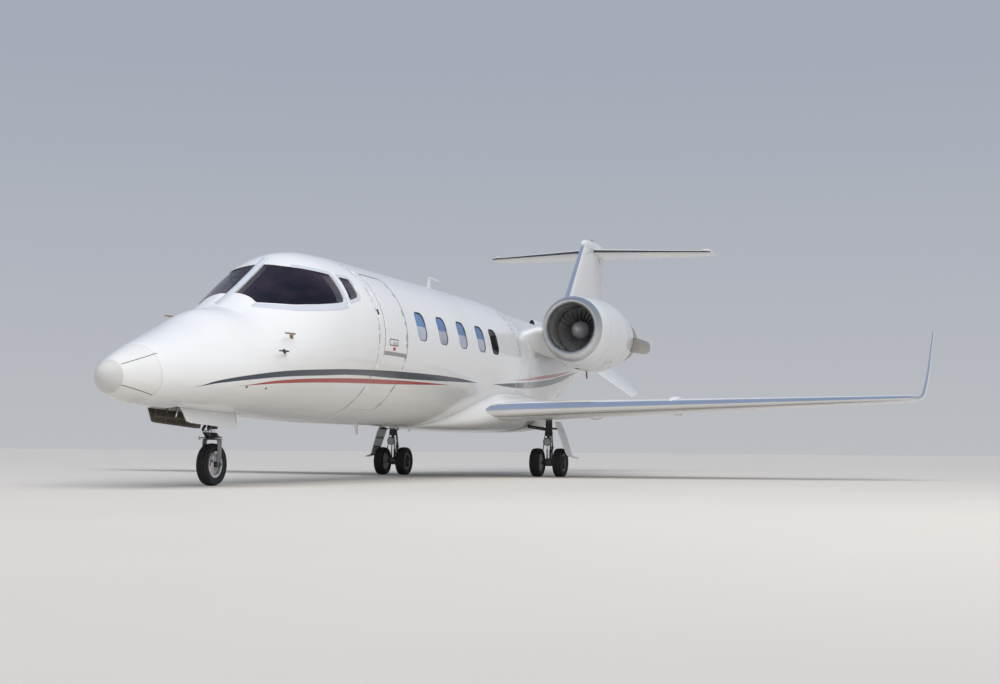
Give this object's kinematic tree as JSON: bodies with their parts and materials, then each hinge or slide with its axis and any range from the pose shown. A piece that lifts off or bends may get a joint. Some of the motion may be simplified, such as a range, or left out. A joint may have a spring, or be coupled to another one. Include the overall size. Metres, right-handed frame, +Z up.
{
  "type": "business jet",
  "caption": "Twin-engined business jet with a T-tail, winglets and a clamshell cabin door, standing on its twin-wheel landing gear.",
  "frame": {"origin": "on the ground under the middle of the aircraft, half way along its length and across its span", "axes": "+Z up, +X to port, +Y aft along the hull, so the nose points to -Y"},
  "size_m": [13.3668, 17.88, 4.4696],
  "materials": {
    "white_paint": "gloss",
    "radome": "satin",
    "bare_metal": "polished",
    "reverser": "satin",
    "dark_metal": "satin",
    "fan_metal": "satin",
    "leg_metal": "satin",
    "fork_metal": "satin",
    "wheel_metal": "satin",
    "tyre": "matt",
    "tinted_glass": "gloss",
    "cabin_glass": "gloss",
    "cabin_trim": "satin",
    "panel": "matt"
  },
  "bodies": {
    "airframe": {"radome": "radome", "fuselage_front": "white_paint", "fuselage_cabin": "white_paint", "fuselage_aft": "white_paint", "belly_fairing": "white_paint", "wing_left": "white_paint", "wing_right": "white_paint", "fin": "white_paint", "tailplane": "white_paint", "ventral_fin_left": "white_paint", "ventral_fin_right": "white_paint", "pylon_left": "white_paint", "pylon_right": "white_paint", "nacelle_left": "white_paint", "nacelle_right": "white_paint", "inlet_lip_left": "bare_metal", "inlet_lip_right": "bare_metal", "reverser_left": "reverser", "reverser_right": "reverser", "engine_core_left": "dark_metal", "engine_core_right": "dark_metal", "main_leg_left": "leg_metal", "main_leg_right": "leg_metal", "main_leg_door_left": "white_paint", "main_leg_door_right": "white_paint", "nose_door_left": "white_paint", "nose_door_right": "white_paint", "nose_leg": "leg_metal", "windshield_left": "tinted_glass", "windshield_right": "tinted_glass", "side_window_left": "tinted_glass", "side_window_right": "tinted_glass", "cabin_windows_left": "cabin_glass", "cabin_windows_right": "cabin_glass", "cabin_floor": "cabin_trim", "instrument_panel": "panel"},
    "nose_fork": {"nose_fork": "fork_metal"},
    "nose_wheel": {"nose_wheel": "wheel_metal", "nose_tyre": "tyre"},
    "main_wheels_left": {"main_wheel_left": "wheel_metal", "main_tyre_inner_left": "tyre", "main_tyre_outer_left": "tyre"},
    "main_wheels_right": {"main_wheel_right": "wheel_metal", "main_tyre_inner_right": "tyre", "main_tyre_outer_right": "tyre"},
    "fan_left": {"fan_left": "fan_metal"},
    "fan_right": {"fan_right": "fan_metal"},
    "door_upper": {"door_upper": "white_paint"},
    "door_lower": {"door_lower": "white_paint"},
    "rudder": {"rudder": "white_paint"},
    "elevator_left": {"elevator_left": "white_paint"},
    "elevator_right": {"elevator_right": "white_paint"},
    "aileron_left": {"aileron_left": "white_paint"},
    "aileron_right": {"aileron_right": "white_paint"},
    "flap_left": {"flap_left": "white_paint"},
    "flap_right": {"flap_right": "white_paint"},
    "spoiler_left": {"spoiler_left": "white_paint"},
    "spoiler_right": {"spoiler_right": "white_paint"}
  },
  "joints": [
    {"name": "nose_steering", "type": "hinge", "parent": "airframe", "child": "nose_fork", "pos_m": [0, -6.898, 0.5], "axis": [0, 0, 1], "range_deg": [-60, 60]},
    {"name": "nose_wheel_spin", "type": "hinge", "parent": "nose_fork", "child": "nose_wheel", "pos_m": [0, -6.898, 0.22], "axis": [1, 0, 0], "continuous": true},
    {"name": "main_wheels_left_spin", "type": "hinge", "parent": "airframe", "child": "main_wheels_left", "pos_m": [1.255, 0.822, 0.212], "axis": [1, 0, 0], "continuous": true},
    {"name": "main_wheels_right_spin", "type": "hinge", "parent": "airframe", "child": "main_wheels_right", "pos_m": [-1.255, 0.822, 0.212], "axis": [1, 0, 0], "continuous": true},
    {"name": "fan_left_spin", "type": "hinge", "parent": "airframe", "child": "fan_left", "pos_m": [1.349, 2.18, 2.29], "axis": [0, 1, 0], "continuous": true},
    {"name": "fan_right_spin", "type": "hinge", "parent": "airframe", "child": "fan_right", "pos_m": [-1.349, 2.18, 2.29], "axis": [0, 1, 0], "continuous": true},
    {"name": "door_upper_swing", "type": "hinge", "parent": "airframe", "child": "door_upper", "pos_m": [0.619, -4.36, 2.43], "axis": [0, -1, 0], "range_deg": [0, 95]},
    {"name": "door_lower_swing", "type": "hinge", "parent": "airframe", "child": "door_lower", "pos_m": [0.55317, -4.36, 0.86], "axis": [0, 1, 0], "range_deg": [0, 85]},
    {"name": "rudder_turn", "type": "hinge", "parent": "airframe", "child": "rudder", "pos_m": [0, 7.39, 2.56], "axis": [0, 0.3432, 0.9393], "range_deg": [-30, 30]},
    {"name": "elevator_left_turn", "type": "hinge", "parent": "airframe", "child": "elevator_left", "pos_m": [0.19, 8.40823, 4.262], "axis": [0.992, 0.1265, 0], "range_deg": [-15, 15]},
    {"name": "elevator_right_turn", "type": "hinge", "parent": "airframe", "child": "elevator_right", "pos_m": [-0.19, 8.40823, 4.262], "axis": [0.992, -0.1265, 0], "range_deg": [-15, 15]},
    {"name": "aileron_left_turn", "type": "hinge", "parent": "airframe", "child": "aileron_left", "pos_m": [4.01, 1.71084, 1.07115], "axis": [0.9908, 0.1302, 0.0381], "range_deg": [-18, 18]},
    {"name": "aileron_right_turn", "type": "hinge", "parent": "airframe", "child": "aileron_right", "pos_m": [-4.01, 1.71084, 1.07115], "axis": [0.9908, -0.1302, -0.0381], "range_deg": [-18, 18]},
    {"name": "flap_left_drop", "type": "hinge", "parent": "airframe", "child": "flap_left", "pos_m": [1.11, 1.3786, 0.95962], "axis": [-0.9914, -0.1253, -0.0381], "range_deg": [0, 40]},
    {"name": "flap_right_drop", "type": "hinge", "parent": "airframe", "child": "flap_right", "pos_m": [-1.11, 1.3786, 0.95962], "axis": [-0.9914, 0.1253, 0.0381], "range_deg": [0, 40]},
    {"name": "spoiler_left_lift", "type": "hinge", "parent": "airframe", "child": "spoiler_left", "pos_m": [1.75, 1.14648, 1.07048], "axis": [0.9869, 0.1591, 0.0249], "range_deg": [0, 40]},
    {"name": "spoiler_right_lift", "type": "hinge", "parent": "airframe", "child": "spoiler_right", "pos_m": [-1.75, 1.14648, 1.07048], "axis": [0.9869, -0.1591, -0.0249], "range_deg": [0, 40]}
  ],
  "couplings": [
    {"joint": "elevator_right_turn", "follows": "elevator_left_turn", "ratio": 1},
    {"joint": "aileron_right_turn", "follows": "aileron_left_turn", "ratio": -1},
    {"joint": "flap_right_drop", "follows": "flap_left_drop", "ratio": 1},
    {"joint": "spoiler_right_lift", "follows": "spoiler_left_lift", "ratio": 1}
  ]
}
